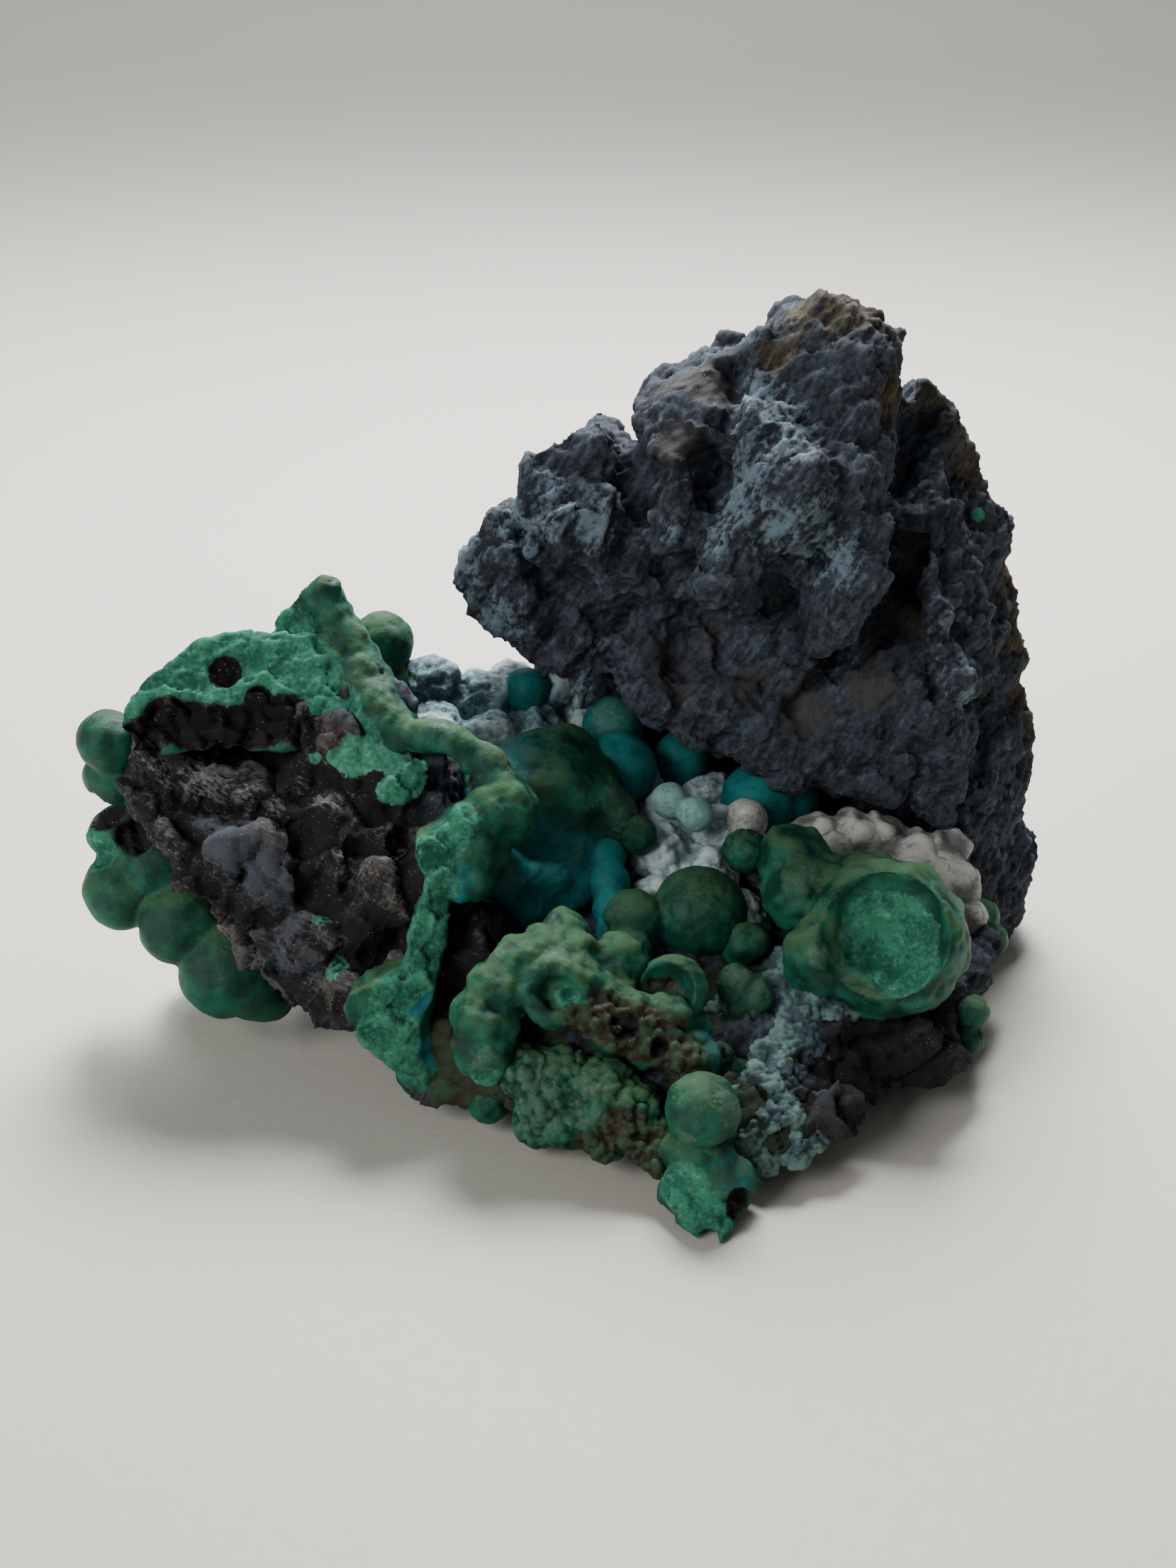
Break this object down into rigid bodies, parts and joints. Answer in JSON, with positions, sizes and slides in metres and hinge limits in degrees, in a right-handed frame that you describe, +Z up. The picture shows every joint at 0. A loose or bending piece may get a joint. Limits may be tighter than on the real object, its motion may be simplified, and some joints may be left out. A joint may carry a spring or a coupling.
{
  "type": "chrysocolla and malachite specimen on host rock",
  "caption": "Mineral hand specimen: green botryoidal malachite and pale chrysocolla lining an open hollow in dark rock.",
  "frame": {"origin": "on the surface it rests on, under the middle of its outline", "axes": "+Z up, +Y from the side it is shown from towards its back, +X to the right of that side, where the tall block is"},
  "size_m": [0.079, 0.0578, 0.0549],
  "materials": {
    "host_rock": "rough, matt, dark blue-grey to black with ochre stains",
    "malachite": "satin botryoidal surface, dark green",
    "broken_malachite": "matt broken surface, mint green with faint bands",
    "teal_chrysocolla": "smooth satin, deep teal",
    "pale_chrysocolla": "powdery, pale blue",
    "white_crust": "chalky, off-white"
  },
  "bodies": {
    "root": {"host_rock": "host_rock", "malachite_rim": "broken_malachite", "front_tip": "broken_malachite", "left_balls": "malachite", "back_left_balls": "malachite", "malachite_dome": "malachite", "centre_balls": "malachite", "side_lump": "malachite", "malachite_cup": "malachite", "front_arc": "malachite", "half_disc": "malachite", "front_druse": "malachite", "round_ball": "malachite", "small_front_ball": "malachite", "green_grapes": "malachite", "green_bead_left": "malachite", "green_bead_right": "malachite", "right_green_lump": "malachite", "edge_green_lump": "malachite", "chrysocolla_finger": "teal_chrysocolla", "teal_domes_left": "teal_chrysocolla", "teal_dome_right": "teal_chrysocolla", "dark_teal_dome": "teal_chrysocolla", "far_teal_dome": "teal_chrysocolla", "pale_beads": "pale_chrysocolla", "floor_crust": "pale_chrysocolla", "blue_druse": "pale_chrysocolla", "white_bead": "white_crust", "white_crust": "white_crust"}
  },
  "joints": []
}
